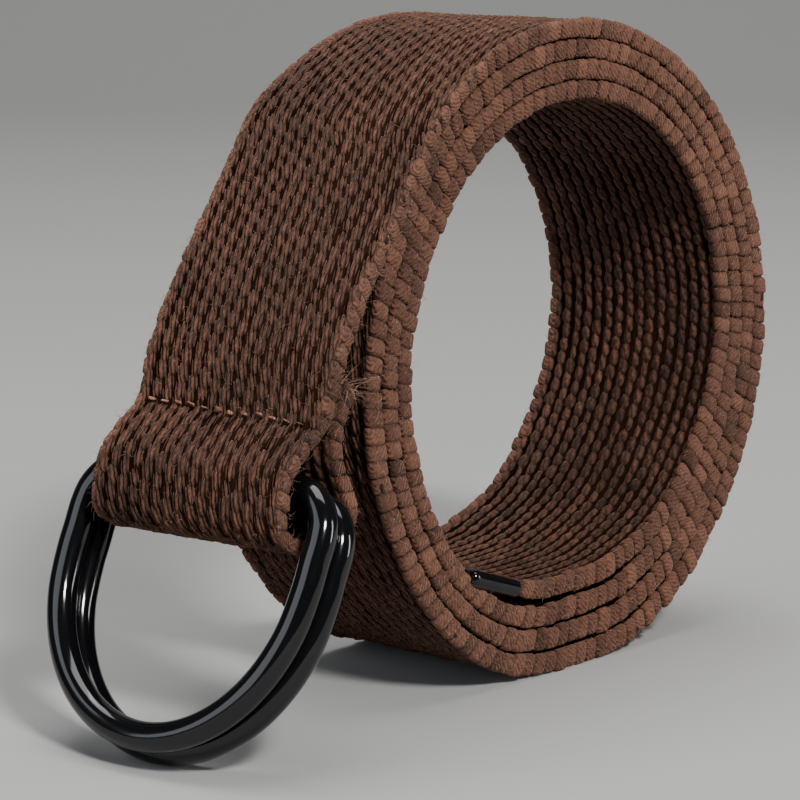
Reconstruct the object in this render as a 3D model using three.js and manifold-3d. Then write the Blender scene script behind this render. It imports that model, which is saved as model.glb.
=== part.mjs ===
// A canvas belt with two D-rings, coiled and stood on its edge turn.
// Millimetres, +Z up. The coil's axis runs along Y, the coil stands on the XY plane, and the
// origin is on that plane below the coil's centre. The ring end hangs off the coil's left side (-X).

import * as THREE from "three";
import { mergeVertices } from "three/addons/utils/BufferGeometryUtils.js";
import Module from "manifold-3d";

// The webbing
const strapWidth = 38;
const strapThickness = 2.5;
const strapEdgeBevel = 0.6;

// The coil: turns are counted in degrees from the left side, up over the top and round.
const coilRadius = 54.2;
const layerGap = 0.75;
const footDepth = 1.4;
const leaveAngle = 42;
const coilEndAngle = 1369;
const springDepth = 4.8;

// The D-rings
const wireDiameter = 4.6;
const ringSideRoom = 1.7;
const ringLength = 40.2;
const ringBowHeight = 25.5;
const ringCornerRadius = 7;
const ringTilt = 64;
const ringYaw = 5;
const ringSlip = 0.8;

// How the folded end holds the rings, and where the loose end lies true on the coil again
const barStandOff = 21;
const runningClearance = 0.3;
const swingClearance = 0.95;
const tailDrift = 6.5;
const settledAngle = 70;
const seamOverlap = 7;
const plyGap = 0.8;
const seamLean = 72;

// The metal tip
const tipLength = 12;
const tipWall = 0.5;
const tipClothThickness = 1.3;
const tipLift = 9.9397;
const clothTaper = 2.4;

// How fine the facets are
const degreesPerStep = 6;
const tailStep = 2.4;
const ringSteps = 64;
const wireSides = 10;

// The outermost turn's distance from the coil's centre, as shares of coilRadius.
const turnShape = [
  { at: 0, reach: 0.981 },
  { at: 30, reach: 0.992 },
  { at: 60, reach: 1.018 },
  { at: 90, reach: 1.028 },
  { at: 120, reach: 1.024 },
  { at: 150, reach: 1.009 },
  { at: 180, reach: 0.995 },
  { at: 210, reach: 0.978 },
  { at: 240, reach: 0.987 },
  { at: 270, reach: 1.004 },
  { at: 300, reach: 0.991 },
  { at: 330, reach: 0.969 },
];

// How the stiff inner end springs away from the turn outside it, as shares of springDepth.
const springShape = [
  { before: 160, inward: 0 },
  { before: 140, inward: 0.03 },
  { before: 120, inward: 0.12 },
  { before: 100, inward: 0.27 },
  { before: 80, inward: 0.42 },
  { before: 60, inward: 0.57 },
  { before: 40, inward: 0.92 },
  { before: 20, inward: 0.7 },
  { before: 0, inward: 0.58 },
];

// The fold round the two bars, from the back ply to the seam. Each row is a place of the webbing's
// middle, turned by an angle round one bar and out from it by a share of the room that a bar needs.
const foldShape = [
  { bar: "back", turn: 76, reach: 1.4 },
  { bar: "back", turn: 20, reach: 0.79 },
  { bar: "back", turn: 338, reach: 1.04 },
  { bar: "back", turn: 292, reach: 1.13 },
  { bar: "back", turn: 248, reach: 1.2 },
  { bar: "front", turn: 245, reach: 1.62 },
  { bar: "front", turn: 228, reach: 1.6 },
  { bar: "front", turn: 208, reach: 1.33 },
  { bar: "front", turn: 186, reach: 1.08 },
  { bar: "front", turn: 148, reach: 1.02 },
  { bar: "front", turn: 100, reach: 1.18 },
  { bar: "front", turn: 72, reach: 1.9 },
];

const layerPitch = strapThickness + layerGap;
const wireRadius = wireDiameter / 2;
const halfStrap = strapWidth / 2;
const yaw = THREE.MathUtils.degToRad(ringYaw);
const tilt = THREE.MathUtils.degToRad(ringTilt);

// Reads a table at a place between its rows, along smooth curves.
function readTable(rows, key, value, at, period) {
  const count = rows.length;
  let low = 0;
  while (low < count - 1 && (rows[low + 1][key] - at) * (rows[1][key] - rows[0][key]) <= 0) low += 1;
  const pick = (index) => {
    if (period) {
      const turns = Math.floor(index / count);
      const row = rows[index - turns * count];
      return [row[key] + turns * period, row[value]];
    }
    const row = rows[Math.min(Math.max(index, 0), count - 1)];
    return [row[key], row[value]];
  };
  const [[, before], [start, from], [end, to], [, after]] = [-1, 0, 1, 2].map((step) => pick(low + step));
  if (end === start) return from;
  const t = (at - start) / (end - start);
  const slopeIn = (to - before) / 2;
  const slopeOut = (after - from) / 2;
  const t2 = t * t;
  const t3 = t2 * t;
  return (2 * t3 - 3 * t2 + 1) * from + (t3 - 2 * t2 + t) * slopeIn
    + (3 * t2 - 2 * t3) * to + (t3 - t2) * slopeOut;
}

// The outermost turn's middle line, before the foot is pressed flat.
function outerTurnRadius(angle) {
  const place = ((angle % 360) + 360) % 360;
  const face = coilRadius * readTable(turnShape, "at", "reach", place, 360);
  return face - strapThickness / 2 - layerPitch * (place - 90) / 360;
}

const coilCentre = outerTurnRadius(270) + strapThickness / 2 - footDepth;

// How far the floor presses the coil inwards at a place round it.
function footPress(angle) {
  const place = ((angle % 360) + 360) % 360;
  const fall = -Math.sin(THREE.MathUtils.degToRad(place));
  if (fall <= 0) return 0;
  return Math.max(0, outerTurnRadius(place) - (coilCentre - strapThickness / 2) / fall);
}

// The webbing's middle line in the coil, as a point of the XZ plane.
function coilPoint(angle) {
  const place = ((angle % 360) + 360) % 360;
  const turns = (angle - place) / 360;
  const spring = readTable(springShape, "before", "inward", coilEndAngle - angle) * springDepth;
  const inward = coilEndAngle - angle < springShape[0].before ? spring : 0;
  const radius = outerTurnRadius(place) - layerPitch * turns - footPress(place) - inward;
  const turn = THREE.MathUtils.degToRad(place);
  return new THREE.Vector2(-radius * Math.cos(turn), coilCentre + radius * Math.sin(turn));
}

// The two bars: the back ring stands on the floor and the front one lies on it.
const ringInnerWidth = strapWidth + 2 * ringSideRoom;
const ringHalfWidth = (ringInnerWidth + wireDiameter) / 2;
const barAlong = new THREE.Vector3(-Math.sin(yaw), Math.cos(yaw), 0);
const ringFall = new THREE.Vector3(
  -Math.cos(tilt) * Math.cos(yaw), -Math.cos(tilt) * Math.sin(yaw), -Math.sin(tilt));
const ringFace = new THREE.Vector3().crossVectors(barAlong, ringFall);
const backBarHeight = wireRadius + ringLength * Math.sin(tilt);
const coilLeft = -coilPoint(360).x + strapThickness / 2;
const stack = ringFace.clone().multiplyScalar(-(wireDiameter + runningClearance))
  .addScaledVector(ringFall, ringSlip);
const frontBar = new THREE.Vector3(-coilLeft - barStandOff, -tailDrift, backBarHeight - stack.z);
const backBar = frontBar.clone().add(stack);

// The room a bar needs inside the fold, with the fall of the ring's round corners at the strap's edge.
const cornerInset = Math.max(0, halfStrap - (ringHalfWidth - ringCornerRadius));
const cornerFall = ringCornerRadius - Math.sqrt(ringCornerRadius ** 2 - cornerInset ** 2);
const barRoom = wireRadius + cornerFall + swingClearance + strapThickness / 2;

// A bar's place at the strap's near edge, in the XZ plane.
function barAtNearEdge(bar) {
  return new THREE.Vector2(bar.x + halfStrap * Math.tan(yaw), bar.z);
}

function sideways(from, to, distance) {
  const along = to.clone().sub(from).normalize();
  return new THREE.Vector2(along.y, -along.x).multiplyScalar(distance);
}

// The middle line of the loose end at its near edge: cut end, back ply, fold, seam, coil.
function tailLine() {
  const bars = { front: barAtNearEdge(frontBar), back: barAtNearEdge(backBar) };
  const fold = foldShape.map(({ bar, turn, reach }) => {
    const angle = THREE.MathUtils.degToRad(turn);
    const out = new THREE.Vector2(Math.cos(angle), Math.sin(angle)).multiplyScalar(reach * barRoom);
    return bars[bar].clone().add(out);
  });
  const seam = fold[fold.length - 1];
  const leave = coilPoint(leaveAngle);
  const leaveWay = leave.clone().sub(coilPoint(leaveAngle + 1)).normalize();
  const lean = THREE.MathUtils.degToRad(seamLean);
  const seamWay = new THREE.Vector2(Math.cos(lean), Math.sin(lean));
  const span = leave.distanceTo(seam) / 3;
  const hang = new THREE.CubicBezierCurve(
    seam, seam.clone().addScaledVector(seamWay, span), leave.clone().addScaledVector(leaveWay, span), leave);
  const plyStep = strapThickness + plyGap;
  const hangLength = hang.getLength();
  const backPly = [1, 0.5, 0].map((share) => {
    const place = share * seamOverlap / hangLength;
    const from = hang.getPointAt(place);
    const to = hang.getPointAt(place + 0.02);
    return from.clone().add(sideways(from, to, plyStep));
  });
  const front = [0.2, 0.4, 0.6, 0.8, 1].map((share) => hang.getPointAt(share));
  const settled = [1, 2, 3].map((step) => coilPoint(leaveAngle + step * degreesPerStep));
  const knots = [...backPly, ...fold, ...front, ...settled];
  const points = knots.map((p) => new THREE.Vector3(p.x, 0, p.y));
  const curve = new THREE.CatmullRomCurve3(points, false, "centripetal");
  const seamKnot = backPly.length + fold.length - 1;
  const coilKnot = knots.length - settled.length;
  return { curve, seamShare: seamKnot / (knots.length - 1), coilShare: coilKnot / (knots.length - 1) };
}

function smooth(share) {
  const t = Math.min(Math.max(share, 0), 1);
  return t * t * (3 - 2 * t);
}

// The whole middle line, from the cut end to the inner end. Each row has its place at the near edge, how
// far it follows the rings' yaw (loose) and their drift towards the viewer (drift), and its thickness.
function strapLine() {
  const { curve, seamShare, coilShare } = tailLine();
  const steps = Math.round(curve.getLength() / tailStep);
  const rows = [];
  for (let i = 0; i < steps; i += 1) {
    const p = curve.getPoint(coilShare * i / steps);
    rows.push({ x: p.x, z: p.z });
  }
  const start = leaveAngle + degreesPerStep;
  const coilSteps = Math.round((coilEndAngle - start) / degreesPerStep);
  for (let i = 0; i <= coilSteps; i += 1) {
    const angle = start + (coilEndAngle - start) * i / coilSteps;
    const p = coilPoint(angle);
    rows.push({ x: p.x, z: p.y, angle });
  }
  const seamRow = steps * seamShare / coilShare;
  const settledRow = rows.findIndex((row) => row.angle > settledAngle);
  rows.forEach((row, i) => {
    const past = row.angle === undefined ? 0 : (row.angle - start) / (settledAngle - start);
    const share = Math.min(Math.max((settledRow - i) / (settledRow - seamRow), 0), 1);
    row.loose = 1 - smooth(past);
    row.drift = (share + smooth(share)) / 2;
    row.thickness = strapThickness;
  });
  return rows;
}

// The straight stretch at the inner end, which the metal tip closes over. It leans in by half of what
// the coil turns along it, less the tip's lift, so that its nose stays clear of the turn outside.
function endRun(rows) {
  const last = rows[rows.length - 1];
  const before = rows[rows.length - 2];
  const way = new THREE.Vector2(last.x - before.x, last.z - before.z).normalize();
  const turned = (clothTaper + runningClearance + tipLength) / Math.hypot(last.x, last.z - coilCentre);
  const lean = turned / 2 - THREE.MathUtils.degToRad(tipLift);
  way.rotateAround(new THREE.Vector2(0, 0), -lean);
  return { start: new THREE.Vector2(last.x, last.z), way };
}

const middleLine = strapLine();
const { start: endStart, way: endWay } = endRun(middleLine);
const clothInTip = tipLength - tipWall - runningClearance;

// Skins a row of equal sections into one closed body.
function loftGeometry(sections) {
  const count = sections[0].length;
  const positions = sections.flat().flatMap((p) => [p.x, p.y, p.z]);
  const faces = [];
  for (let i = 0; i < sections.length - 1; i += 1) {
    for (let j = 0; j < count; j += 1) {
      const a = i * count + j;
      const b = i * count + (j + 1) % count;
      faces.push(a, b + count, b, a, a + count, b + count);
    }
  }
  const last = (sections.length - 1) * count;
  for (let j = 1; j < count - 1; j += 1) {
    faces.push(0, j, j + 1);
    faces.push(last, last + j + 1, last + j);
  }
  const geometry = new THREE.BufferGeometry();
  geometry.setAttribute("position", new THREE.Float32BufferAttribute(positions, 3));
  geometry.setIndex(faces);
  geometry.computeVertexNormals();
  return geometry;
}

// The strap: one bevelled section carried along the middle line.
function strapGeometry() {
  const rows = middleLine.map((row) => ({ ...row }));
  const endRows = [
    { distance: clothTaper / 2, thickness: (strapThickness + tipClothThickness) / 2 },
    { distance: clothTaper, thickness: tipClothThickness },
    { distance: clothTaper + runningClearance + clothInTip, thickness: tipClothThickness },
  ];
  for (const { distance, thickness } of endRows) {
    const x = endStart.x + endWay.x * distance;
    const z = endStart.y + endWay.y * distance;
    rows.push({ x, z, loose: 0, drift: 0, thickness });
  }
  const sections = rows.map((row, i) => {
    const from = rows[Math.max(i - 1, 0)];
    const to = rows[Math.min(i + 1, rows.length - 1)];
    const along = new THREE.Vector2(to.x - from.x, to.z - from.z).normalize();
    const half = row.thickness / 2;
    const bevel = Math.min(strapEdgeBevel, half * 0.8);
    const corners = [
      [-halfStrap, -half + bevel], [-halfStrap, half - bevel],
      [-halfStrap + bevel, half], [halfStrap - bevel, half],
      [halfStrap, half - bevel], [halfStrap, -half + bevel],
      [halfStrap - bevel, -half], [-halfStrap + bevel, -half],
    ];
    return corners.map(([across, out]) => new THREE.Vector3(
      row.x - Math.tan(yaw) * row.loose * (across + halfStrap) - along.y * out,
      across - tailDrift * row.drift,
      row.z + along.x * out));
  });
  return loftGeometry(sections);
}

// One D-ring in its own plane: the bar along X, the bow towards +Y.
function ringGeometry() {
  const straight = ringHalfWidth - ringCornerRadius;
  const sideEnd = ringLength - ringBowHeight;
  const half = [];
  half.push([0, 0], [straight * 0.5, 0], [straight, 0]);
  for (const turn of [22.5, 45, 67.5, 90]) {
    const a = THREE.MathUtils.degToRad(turn);
    half.push([straight + ringCornerRadius * Math.sin(a), ringCornerRadius * (1 - Math.cos(a))]);
  }
  half.push([ringHalfWidth, (ringCornerRadius + sideEnd) / 2]);
  for (let turn = 0; turn <= 90; turn += 15) {
    const a = THREE.MathUtils.degToRad(turn);
    half.push([ringHalfWidth * Math.cos(a), sideEnd + ringBowHeight * Math.sin(a)]);
  }
  const other = half.slice(1, -1).reverse().map(([x, y]) => [-x, y]);
  const points = [...half, ...other].map(([x, y]) => new THREE.Vector3(x, y, 0));
  const line = new THREE.CatmullRomCurve3(points, true, "centripetal");
  return new THREE.TubeGeometry(line, ringSteps, wireRadius, wireSides, true);
}

function ringMesh(name, bar, material) {
  const mesh = new THREE.Mesh(ringGeometry(), material);
  mesh.name = name;
  mesh.position.copy(bar);
  mesh.quaternion.setFromRotationMatrix(new THREE.Matrix4().makeBasis(barAlong, ringFall, ringFace));
  return mesh;
}

const wasm = await Module();
wasm.setup();

function toSolid(geometry) {
  const bare = geometry.clone();
  bare.deleteAttribute("normal");
  bare.deleteAttribute("uv");
  const merged = mergeVertices(bare);
  const vertProperties = new Float32Array(merged.attributes.position.array);
  const triVerts = new Uint32Array(merged.index.array);
  return new wasm.Manifold(new wasm.Mesh({ numProp: 3, vertProperties, triVerts }));
}

function toGeometry(solid) {
  const { vertProperties, triVerts } = solid.getMesh();
  const geometry = new THREE.BufferGeometry();
  geometry.setAttribute("position", new THREE.BufferAttribute(vertProperties, 3));
  geometry.setIndex(new THREE.BufferAttribute(triVerts, 1));
  geometry.computeVertexNormals();
  return geometry;
}

// The tip: a pressed cap with a round nose, hollowed for the webbing. X runs along the strap.
function tipGeometry() {
  const halfHeight = tipClothThickness / 2 + runningClearance + tipWall;
  const bevel = tipWall * 0.6;
  const nose = halfHeight - bevel;
  const outline = new THREE.Shape();
  outline.moveTo(bevel, -nose);
  outline.lineTo(tipLength - halfHeight, -nose);
  outline.absarc(tipLength - halfHeight, 0, nose, -Math.PI / 2, Math.PI / 2, false);
  outline.lineTo(bevel, nose);
  outline.closePath();
  const inside = strapWidth + 2 * runningClearance;
  const width = inside + 2 * tipWall;
  const shell = new THREE.ExtrudeGeometry(outline, {
    depth: width - 2 * bevel, bevelEnabled: true, bevelThickness: bevel, bevelSize: bevel,
    bevelSegments: 2, curveSegments: 8,
  });
  shell.translate(0, 0, -width / 2 + bevel);
  const pocketHalf = tipClothThickness / 2 + runningClearance;
  const pocketShape = new THREE.Shape([
    new THREE.Vector2(-tipWall, -pocketHalf), new THREE.Vector2(tipLength - tipWall, -pocketHalf),
    new THREE.Vector2(tipLength - tipWall, pocketHalf), new THREE.Vector2(-tipWall, pocketHalf),
  ]);
  const pocket = new THREE.ExtrudeGeometry(pocketShape, { depth: inside, bevelEnabled: false });
  pocket.translate(0, 0, -inside / 2);
  return toGeometry(toSolid(shell).subtract(toSolid(pocket)));
}

function tipMesh(material) {
  const mesh = new THREE.Mesh(tipGeometry(), material);
  mesh.name = "end_tip";
  const along = new THREE.Vector3(endWay.x, 0, endWay.y);
  const across = new THREE.Vector3(0, 1, 0);
  const up = new THREE.Vector3().crossVectors(across, along);
  mesh.quaternion.setFromRotationMatrix(new THREE.Matrix4().makeBasis(along, up, across));
  const mouth = endStart.clone().addScaledVector(endWay, clothTaper + runningClearance);
  mesh.position.set(mouth.x, 0, mouth.y);
  return mesh;
}

const canvas = new THREE.MeshStandardMaterial({ color: 0x3d2219, roughness: 0.95, metalness: 0 });
const enamel = new THREE.MeshStandardMaterial({ color: 0x0b0b0c, roughness: 0.2, metalness: 0 });
const tipEnamel = new THREE.MeshStandardMaterial({ color: 0x0a0a0a, roughness: 0.25, metalness: 0 });

const strap = new THREE.Mesh(strapGeometry(), canvas);
strap.name = "strap";

const group = new THREE.Group();
group.add(strap);
group.add(ringMesh("front_d_ring", frontBar, enamel));
group.add(ringMesh("back_d_ring", backBar, enamel));
group.add(tipMesh(tipEnamel));

export default group;
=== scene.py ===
# %% [markdown]
# # A canvas belt with two D-rings, wound into a coil
#
# The belt is one length of cotton webbing. One end is folded round two D-shaped wire rings and sewn,
# the other end has a pressed metal tip. The webbing is wound into a coil that stands on its outer turn,
# and the ring end hangs down beside it.
#
# Webbing is woven flat and wound up afterwards, and this script does the same. Each layer of the cloth is
# modelled as a flat strip, where the weave is easy to lay out, and then one function winds it onto
# the line that the belt follows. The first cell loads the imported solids, which the dressed pieces replace.

# %% Load the frame
import math

import bmesh
import bpy
import numpy as np
from mathutils import Matrix, Vector


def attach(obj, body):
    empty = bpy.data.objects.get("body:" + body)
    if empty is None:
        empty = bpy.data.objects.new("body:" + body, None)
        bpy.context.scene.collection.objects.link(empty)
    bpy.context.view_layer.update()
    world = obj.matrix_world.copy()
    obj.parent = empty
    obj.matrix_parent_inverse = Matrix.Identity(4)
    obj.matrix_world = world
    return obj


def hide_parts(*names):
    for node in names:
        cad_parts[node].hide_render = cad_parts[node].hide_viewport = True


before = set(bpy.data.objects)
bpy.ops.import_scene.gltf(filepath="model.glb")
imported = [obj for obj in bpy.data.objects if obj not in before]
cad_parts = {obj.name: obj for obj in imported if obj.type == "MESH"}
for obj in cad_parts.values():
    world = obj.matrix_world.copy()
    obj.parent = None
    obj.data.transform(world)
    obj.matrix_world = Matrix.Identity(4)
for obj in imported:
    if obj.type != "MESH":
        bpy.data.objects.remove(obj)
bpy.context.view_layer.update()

MM = 0.001

# %% [markdown]
# ## The line that the webbing follows
#
# The solids were made from a few named sizes and short tables, so the same sizes are written here and give
# the same line, in millimetres. A table between its rows could be read along straight pieces, but then
# the coil would show corners, so it is read along smooth curves.
#
# The solid coil lies in plain even turns with a flat foot. Cloth is softer, so the cloth gets a line of its
# own, a millimetre or two from the solids' line: its foot is round at both ends, and the turns outside the
# sprung inner end follow it part of the way. The rings and the tip stay where the solids have them.

# %% Sizes of the webbing and the coil
strap_width, strap_thickness, half_strap = 38.0, 2.5, 19.0
coil_radius, layer_gap, foot_depth = 54.2, 0.75, 1.4
leave_angle, settled_angle, coil_end_angle, spring_depth = 42.0, 70.0, 1369.0, 4.8
turn_step, tail_step = 6.0, 2.4
layer_pitch = strap_thickness + layer_gap

# Place round the outer turn in degrees, and distance from the centre as a share of the coil's radius.
turn_shape = [(0, 0.981), (30, 0.992), (60, 1.018), (90, 1.028), (120, 1.024), (150, 1.009),
              (180, 0.995), (210, 0.978), (240, 0.987), (270, 1.004), (300, 0.991), (330, 0.969)]
# Degrees before the inner end, and how far it springs inwards as a share of the spring depth.
spring_shape = [(160, 0), (140, 0.03), (120, 0.12), (100, 0.27), (80, 0.42), (60, 0.57),
                (40, 0.92), (20, 0.7), (0, 0.58)]
# The turn outside the inner one follows it part of the way, and the next turn half as far.
follow_shape = [(160, 0), (130, 0.04), (100, 0.17), (80, 0.29), (60, 0.39), (40, 0.52), (20, 0.42),
                (0, 0.24), (-20, 0.06), (-40, 0)]
# Place round the coil, and how far each further turn lies inside its own, as a share of a layer.
slack_shape = [(0, 0.13), (45, 0.1), (90, 0.03), (135, 0), (180, 0), (225, 0), (270, 0), (315, 0.09)]


# %% Read a table along smooth curves
def read_table(rows, at, period=0):
    """The value at a place between a table's rows."""
    rising = 1 if rows[1][0] > rows[0][0] else -1
    low = 0
    while low < len(rows) - 1 and (rows[low + 1][0] - at) * rising <= 0:
        low += 1

    def pick(index):
        if period:
            turns, place = divmod(index, len(rows))
            return rows[place][0] + turns * period, rows[place][1]
        return rows[min(max(index, 0), len(rows) - 1)]

    (_, before), (start, a), (end, b), (_, after) = (pick(low + step) for step in (-1, 0, 1, 2))
    if end == start:
        return a
    t = (at - start) / (end - start)
    slope_in, slope_out = (b - before) / 2, (after - a) / 2
    return ((2 * t**3 - 3 * t**2 + 1) * a + (t**3 - 2 * t**2 + t) * slope_in
            + (3 * t**2 - 2 * t**3) * b + (t**3 - t**2) * slope_out)


def outer_turn_radius(angle):
    """The outer turn's middle line, before its foot is pressed flat."""
    place = angle % 360
    face = coil_radius * read_table(turn_shape, place, 360)
    return face - strap_thickness / 2 - layer_pitch * (place - 90) / 360


coil_centre = outer_turn_radius(270) + strap_thickness / 2 - foot_depth
print("coil centre is", round(coil_centre, 2), "mm above the floor")


# %% The solids' line in the coil
clear_of_floor = -50.0


def coil_depth(angle):
    """The solids' line in the coil: its distance from the centre, and how far the floor presses it in."""
    place = angle % 360
    fall = -math.sin(math.radians(place))
    press = clear_of_floor
    if fall > 0:
        press = outer_turn_radius(place) - (coil_centre - strap_thickness / 2) / fall
    left = coil_end_angle - angle
    spring = read_table(spring_shape, left) if left < spring_shape[0][0] else 0
    return outer_turn_radius(place) - layer_pitch * (angle // 360) - spring * spring_depth, press


def place_at(angle, radius):
    """A place in the coil, as x and z in millimetres."""
    turn = math.radians(angle)
    return np.array([-radius * math.cos(turn), coil_centre + radius * math.sin(turn)])


def solid_point(angle):
    """The solids' middle line in the coil."""
    radius, press = coil_depth(angle)
    return place_at(angle, radius - max(0, press))


print("the solid coil's inner end is at", solid_point(coil_end_angle).round(1))

# %% The cloth's own line in the coil
foot_softness, settle_depth, settle_angle = 1.9, 0.6, 80
slack_turns, slack_fade_angle = 2, 160
# How many turns outside the sprung end a turn lies, and the part of the way that it follows.
follow_parts = [(1, 1), (2, 0.5)]
least_room, most_room = 0.92, 1.15


def cloth_radius(angle):
    """The cloth's own distance from the centre: its foot is soft, and its turns follow one another."""
    radius, press = coil_depth(angle)
    left = coil_end_angle - angle
    for turns, part in follow_parts:
        outside = left - 360 * turns
        if follow_shape[-1][0] < outside < follow_shape[0][0]:
            radius -= part * read_table(follow_shape, outside) * spring_depth
    slack = layer_pitch * read_table(slack_shape, angle % 360, 360) * min(angle / 360, slack_turns)
    radius -= slack * min(left / slack_fade_angle, 1)
    if left < settle_angle:
        radius += settle_depth * math.sin(math.pi * left / settle_angle)**2
    return radius - (press + math.hypot(press, foot_softness)) / 2


def coil_point(angle):
    """The cloth's middle line in the coil."""
    return place_at(angle, cloth_radius(angle))


def layer_room(angle):
    """The room between a layer's neighbours, as a share of the layers' pitch."""
    rooms = []
    if angle > leave_angle + 360:
        rooms.append(cloth_radius(angle - 360) - cloth_radius(angle))
    if angle < coil_end_angle - 360:
        rooms.append(cloth_radius(angle) - cloth_radius(angle + 360))
    return min(max(min(rooms) / layer_pitch, least_room), most_room)


print("the cloth's coil starts at", coil_point(leave_angle).round(1))
print("and ends at", coil_point(coil_end_angle).round(1))

# %% [markdown]
# ## The rings' places and the fold round their bars
#
# The back ring stands on the floor, the front ring lies on it, and the webbing goes round both bars.
# The bars are placed first, because the fold is laid out round them: each row of its table is a
# place of the webbing, turned by an angle round one bar and out from it by a share of the bar's room.

# %% Sizes of the rings and the fold
wire_diameter, ring_inner_width, ring_length = 4.6, 41.4, 40.2
ring_bow_height, ring_corner_radius, ring_slip = 25.5, 7.0, 0.8
ring_tilt, ring_yaw = math.radians(64), math.radians(5)
bar_stand_off, running_clearance, swing_clearance = 21.0, 0.3, 0.95
tail_drift, seam_overlap, ply_gap, seam_lean = 6.5, 7.0, 0.8, math.radians(72)
fold_shape = [("back", 76, 1.4), ("back", 20, 0.79), ("back", 338, 1.04), ("back", 292, 1.13),
              ("back", 248, 1.2), ("front", 245, 1.62), ("front", 228, 1.6), ("front", 208, 1.33),
              ("front", 186, 1.08), ("front", 148, 1.02), ("front", 100, 1.18), ("front", 72, 1.9)]

# %% The two bars
wire_radius = wire_diameter / 2
ring_half_width = (ring_inner_width + wire_diameter) / 2
bar_along = Vector((-math.sin(ring_yaw), math.cos(ring_yaw), 0))
ring_fall = Vector((-math.cos(ring_tilt) * math.cos(ring_yaw), -math.cos(ring_tilt) * math.sin(ring_yaw),
                    -math.sin(ring_tilt)))
ring_face = bar_along.cross(ring_fall)
stack = -(wire_diameter + running_clearance) * ring_face + ring_slip * ring_fall
coil_left = -solid_point(360)[0] + strap_thickness / 2
front_bar = Vector((-coil_left - bar_stand_off, -tail_drift,
                    wire_radius + ring_length * math.sin(ring_tilt) - stack.z))
back_bar = front_bar + stack
corner_inset = max(0, half_strap - (ring_half_width - ring_corner_radius))
corner_fall = ring_corner_radius - math.sqrt(ring_corner_radius**2 - corner_inset**2)
bar_room = wire_radius + corner_fall + swing_clearance + strap_thickness / 2
print("front bar at", [round(v, 2) for v in front_bar], "back bar at", [round(v, 2) for v in back_bar])


# %% A smooth curve through knots
def through_knots(knots, at, closed=False):
    """Places on a smooth curve through the knots. at is counted in knots."""
    knots = np.asarray(knots, float)
    if closed:
        padded = np.vstack([knots[-1:], knots, knots[:2]])
        last = len(knots) - 1
    else:
        padded = np.vstack([2 * knots[0] - knots[1], knots, 2 * knots[-1] - knots[-2]])
        last = len(knots) - 2
    low = np.clip(np.floor(at).astype(int), 0, last)
    t = (at - low)[:, None]
    a, b, c, d = (padded[low + step] for step in range(4))
    gap = [np.sqrt(np.linalg.norm(q - p, axis=1))[:, None] for p, q in ((a, b), (b, c), (c, d))]
    gap = [np.where(g < 1e-4, np.maximum(gap[1], 1e-4), g) for g in gap]
    slope_in = ((b - a) / gap[0] - (c - a) / (gap[0] + gap[1]) + (c - b) / gap[1]) * gap[1]
    slope_out = ((c - b) / gap[1] - (d - b) / (gap[1] + gap[2]) + (d - c) / gap[2]) * gap[1]
    return (b + slope_in * t + (-3 * b + 3 * c - 2 * slope_in - slope_out) * t**2
            + (2 * b - 2 * c + slope_in + slope_out) * t**3)


def unit(v):
    return v / np.linalg.norm(v)


def run_along(line):
    """How far along a line each of its places is."""
    return np.r_[0, np.cumsum(np.linalg.norm(np.diff(line, axis=0), axis=1))]


# %% The loose end: cut end, back ply, fold, seam and hang
def tail_knots():
    """The loose end's knots at the near edge, with the numbers of the seam's and the coil's knot."""
    reach = half_strap * math.tan(ring_yaw)
    bars = {"front": np.array([front_bar.x + reach, front_bar.z]),
            "back": np.array([back_bar.x + reach, back_bar.z])}
    fold = []
    for bar, turn, share in fold_shape:
        way = np.array([math.cos(math.radians(turn)), math.sin(math.radians(turn))])
        fold.append(bars[bar] + way * share * bar_room)
    seam, leave = fold[-1], coil_point(leave_angle)
    leave_way = unit(leave - coil_point(leave_angle + 1))
    seam_way = np.array([math.cos(seam_lean), math.sin(seam_lean)])
    span = np.linalg.norm(leave - seam) / 3
    handles = [seam, seam + seam_way * span, leave + leave_way * span, leave]
    t = np.linspace(0, 1, 201)[:, None]
    hang = ((1 - t)**3 * handles[0] + 3 * (1 - t)**2 * t * handles[1]
            + 3 * (1 - t) * t**2 * handles[2] + t**3 * handles[3])
    run = run_along(hang)

    def on_hang(share):
        return np.array([np.interp(share * run[-1], run, hang[:, k]) for k in (0, 1)])

    back_ply = []
    for share in (1, 0.5, 0):
        place = share * seam_overlap / run[-1]
        way = unit(on_hang(place + 0.02) - on_hang(place))
        back_ply.append(on_hang(place) + np.array([way[1], -way[0]]) * (strap_thickness + ply_gap))
    front = [on_hang(share) for share in (0.2, 0.4, 0.6, 0.8, 1)]
    settled = [coil_point(leave_angle + step * turn_step) for step in (1, 2, 3)]
    knots = back_ply + fold + front + settled
    return knots, len(back_ply) + len(fold) - 1, len(knots) - len(settled)


tail, seam_knot, coil_knot = tail_knots()
print("the loose end has", len(tail), "knots, its seam is at", tail[seam_knot].round(1))


# %% The whole line, from the cut end to the inner end
def smooth(share):
    share = np.clip(share, 0, 1)
    return share * share * (3 - 2 * share)


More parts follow.
